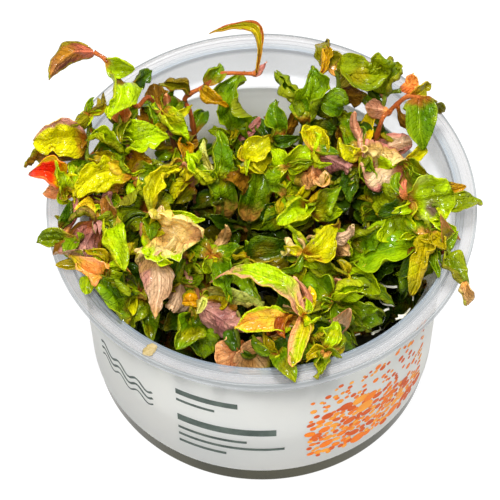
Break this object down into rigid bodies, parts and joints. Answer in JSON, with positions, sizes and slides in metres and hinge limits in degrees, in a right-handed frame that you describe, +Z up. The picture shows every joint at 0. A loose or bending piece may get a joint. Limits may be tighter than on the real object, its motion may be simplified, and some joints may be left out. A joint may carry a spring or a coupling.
{
  "type": "rotala shoots in a culture cup",
  "caption": "Clear round culture cup with a wide flange and a paper label, crowded with curled green, orange and pink shoots of an aquarium stem plant.",
  "frame": {"origin": "centre of the flat base that the cup stands on", "axes": "+Z up out of the cup's mouth; -Y is the front, where the orange pebbles and bubbles printed on the label are to the right"},
  "size_m": [0.1057, 0.1008, 0.0822],
  "materials": {
    "cup_plastic": "clear moulded polypropylene, glossy and faintly cloudy",
    "label_paper": null,
    "growing_gel": "soft wet gel, olive grey",
    "lime_shoot": "waxy crumpled leaf tissue, lime to yellow with pink undersides",
    "green_shoot": "waxy leaf tissue, mid to deep green, glossy",
    "orange_shoot": "thin leaf tissue, orange to ochre and peach",
    "pink_shoot": "thin leaf tissue, mauve pink with veins"
  },
  "bodies": {
    "root": {"cup": "cup_plastic", "label": "label_paper", "gel": "growing_gel", "shoot_tall_left": "lime_shoot", "shoot_over_left": "lime_shoot", "shoot_red_bud": "orange_shoot", "shoot_lower_left": "green_shoot", "shoot_butter_left": "lime_shoot", "shoot_mauve_left": "pink_shoot", "shoot_orange_curl": "orange_shoot", "shoot_red_oval": "green_shoot", "shoot_pendant": "pink_shoot", "shoot_crumpled_cream": "lime_shoot", "shoot_bell_curl": "green_shoot", "shoot_ochre_fold": "orange_shoot", "shoot_lime_fold": "lime_shoot", "shoot_star_left": "lime_shoot", "shoot_back_left": "green_shoot", "shoot_back_funnel": "green_shoot", "shoot_lime_brown": "lime_shoot", "shoot_upright_green": "green_shoot", "shoot_tongue": "green_shoot", "shoot_lime_centre": "lime_shoot", "shoot_vee_centre": "lime_shoot", "shoot_peach_crumple": "orange_shoot", "shoot_tall_back": "green_shoot", "shoot_back_right": "green_shoot", "shoot_right_back": "green_shoot", "shoot_right_top": "green_shoot", "shoot_ball_curl": "green_shoot", "shoot_salmon_curl": "orange_shoot", "shoot_right_edge": "lime_shoot", "shoot_right_points": "green_shoot", "shoot_right_pendant": "green_shoot", "shoot_right_front": "green_shoot", "shoot_big_green": "green_shoot", "shoot_blush_right": "pink_shoot", "shoot_cream_lip": "lime_shoot", "shoot_lime_middle": "lime_shoot", "shoot_dark_middle": "green_shoot", "shoot_green_shade": "green_shoot", "shoot_glossy_front": "green_shoot", "shoot_broad_dark": "green_shoot", "shoot_long_twist": "lime_shoot", "shoot_gold_flat": "orange_shoot", "shoot_front_tan": "orange_shoot", "shoot_rim_green": "green_shoot", "shoot_front_star": "lime_shoot", "shoot_tan_blade": "pink_shoot", "shoot_green_right_front": "green_shoot", "shoot_olive_right_front": "green_shoot", "shoot_mauve_front": "pink_shoot", "shoot_front_left_green": "green_shoot", "shoot_left_front_broad": "green_shoot", "shoot_tan_shade": "pink_shoot", "shoot_ochre_stem": "green_shoot"}
  },
  "joints": []
}
